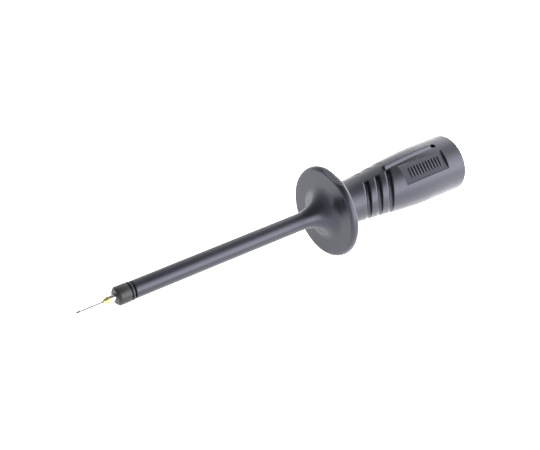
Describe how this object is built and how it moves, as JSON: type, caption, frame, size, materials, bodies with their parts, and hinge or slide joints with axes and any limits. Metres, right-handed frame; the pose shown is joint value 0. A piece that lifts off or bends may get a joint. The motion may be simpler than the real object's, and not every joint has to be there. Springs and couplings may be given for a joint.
{
  "type": "hand-held needle test probe",
  "caption": "Slim insulated test probe with a sprung needle in a screw-in cartridge, a round finger guard, a grooved handle and a shrouded 4 mm rear socket.",
  "frame": {"origin": "centre of the rear socket's mouth, on the handle's rear face", "axes": "+X along the probe's axis from the needle towards the rear socket, the way the lead's plug leaves; +Z is the top, where the handle's rib is; the flat on the guard's rim is turned 5 degrees from it towards -Y"},
  "size_m": [0.1539, 0.032, 0.0314],
  "materials": {
    "body_plastic": "satin moulded polyamide, charcoal with a faint blue cast",
    "handle_plastic": "fine spark-eroded satin grip moulding, charcoal",
    "insulator_plastic": "smooth black insulating moulding",
    "collar_plastic": "turned black insulating collar, satin",
    "seal_rubber": "matt black elastomer",
    "gold_plate": "thin gold plating on turned brass",
    "brass": "turned free-cutting brass",
    "nickel_plate": "bright nickel plating on turned brass",
    "steel": "drawn spring steel",
    "needle_steel": "hardened needle steel with a ground point"
  },
  "bodies": {
    "handle": {"body_moulding": "body_plastic", "handle_shell": "handle_plastic", "socket_insulator": "insulator_plastic", "socket_contact": "gold_plate", "contact_snap_ring": "steel", "contact_washer": "steel", "contact_nut": "brass", "latch_pin": "insulator_plastic", "conductor_rod": "brass", "rod_seal": "seal_rubber", "front_bush": "brass"},
    "seal_carriage": {"tip_seal": "seal_rubber"},
    "cartridge": {"collar_ring": "collar_plastic", "tip_collar": "collar_plastic", "tip_holder": "nickel_plate", "spring_barrel": "gold_plate", "barrel_plug": "brass", "needle_spring": "steel"},
    "needle": {"bias_ball": "steel", "needle_plunger": "needle_steel"}
  },
  "joints": [
    {"name": "cartridge_advance", "type": "slide", "parent": "handle", "child": "seal_carriage", "axis": [-1, 0, 0], "range_m": [0, 0.006]},
    {"name": "cartridge_turn", "type": "hinge", "parent": "seal_carriage", "child": "cartridge", "pos_m": [-0.1336, 0, 0], "axis": [-1, 0, 0], "range_deg": [0, 4320]},
    {"name": "needle_slide", "type": "slide", "parent": "cartridge", "child": "needle", "axis": [1, 0, 0], "range_m": [0, 0.004], "stiffness_N_per_m": 200, "springref_m": -0.003, "deforming": ["needle_spring"]}
  ],
  "couplings": [
    {"joint": "cartridge_turn", "follows": "cartridge_advance", "rad_per_m": 12566}
  ]
}
